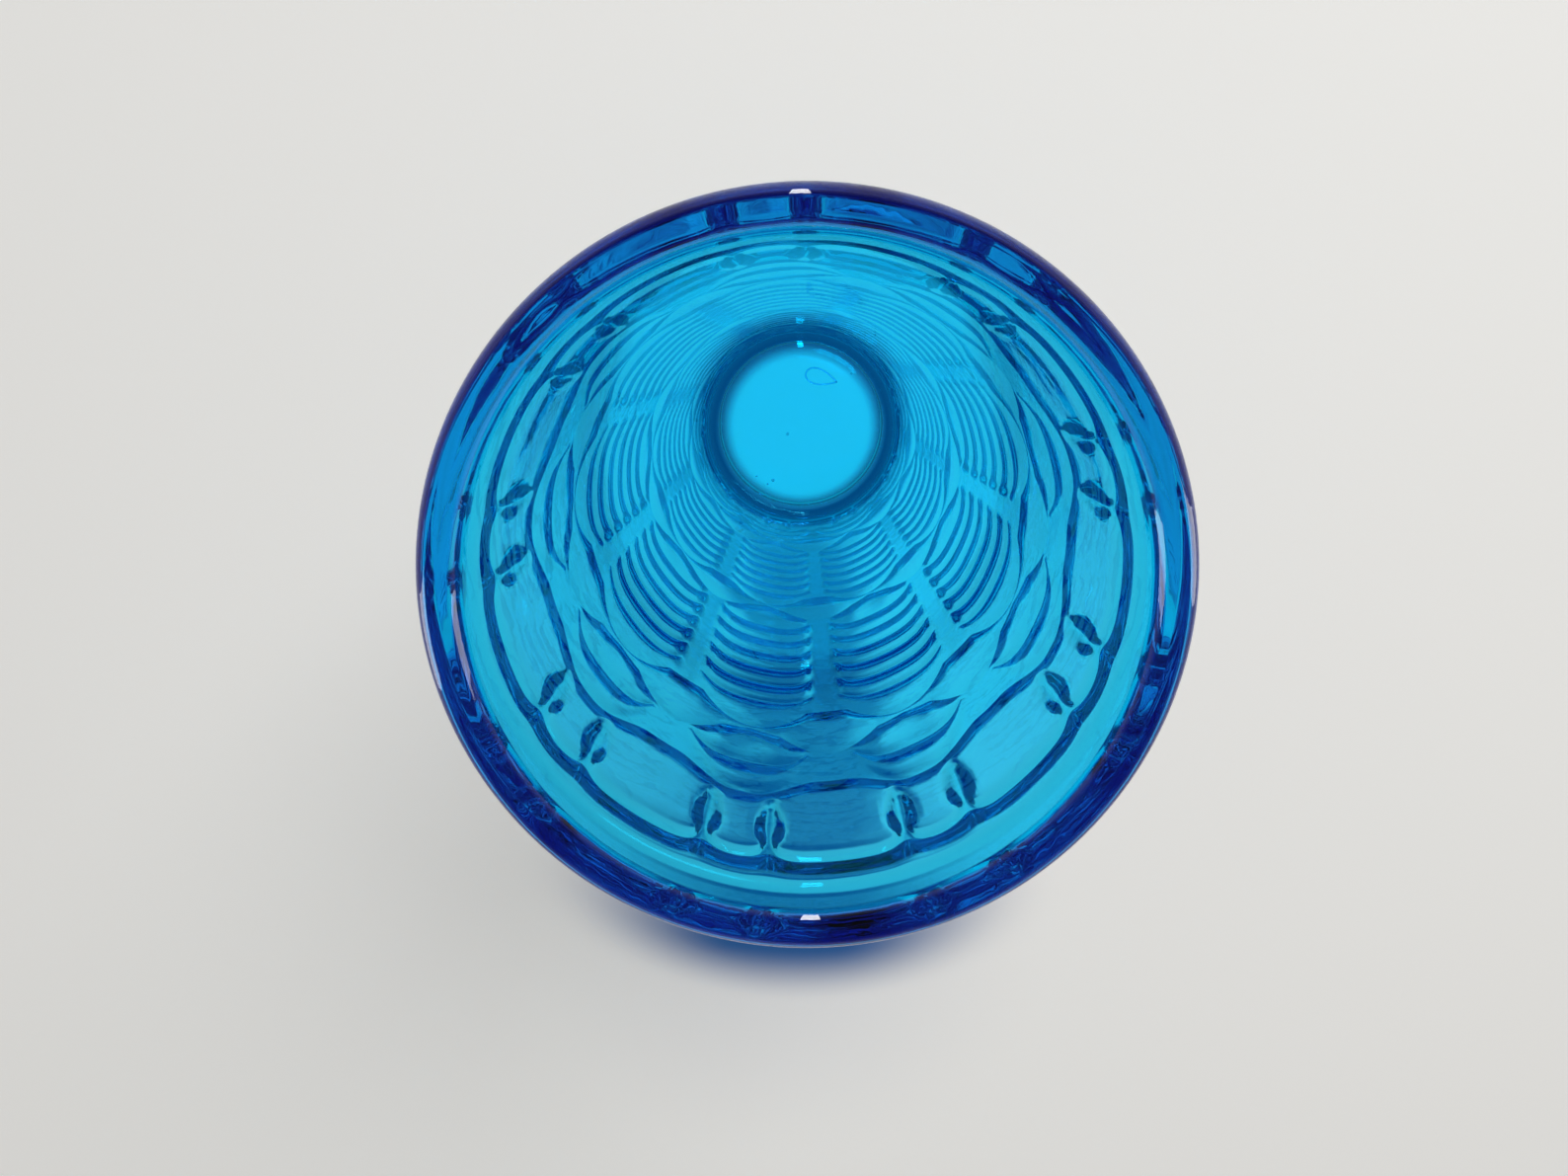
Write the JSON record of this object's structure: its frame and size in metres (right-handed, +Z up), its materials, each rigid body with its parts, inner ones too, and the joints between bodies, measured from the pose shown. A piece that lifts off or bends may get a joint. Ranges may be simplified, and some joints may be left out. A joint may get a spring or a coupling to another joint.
{
  "type": "pressed glass tumbler",
  "caption": "Tall tapered tumbler of blue pressed glass, with a rounded lip, a plain band, ribbed panels with lens-shaped pads outside and a smooth open inside.",
  "frame": {"origin": "centre of the ring that the tumbler rests on, at the level of the table", "axes": "+Z up along the tumbler's axis, out of the open mouth; a seam between two panels faces -Y"},
  "size_m": [0.08, 0.08, 0.205],
  "materials": {
    "blue_glass": "clear turquoise-blue glass, fire-polished inside and lightly rippled by the mould outside"
  },
  "bodies": {
    "root": {"tumbler": "blue_glass"}
  },
  "joints": []
}
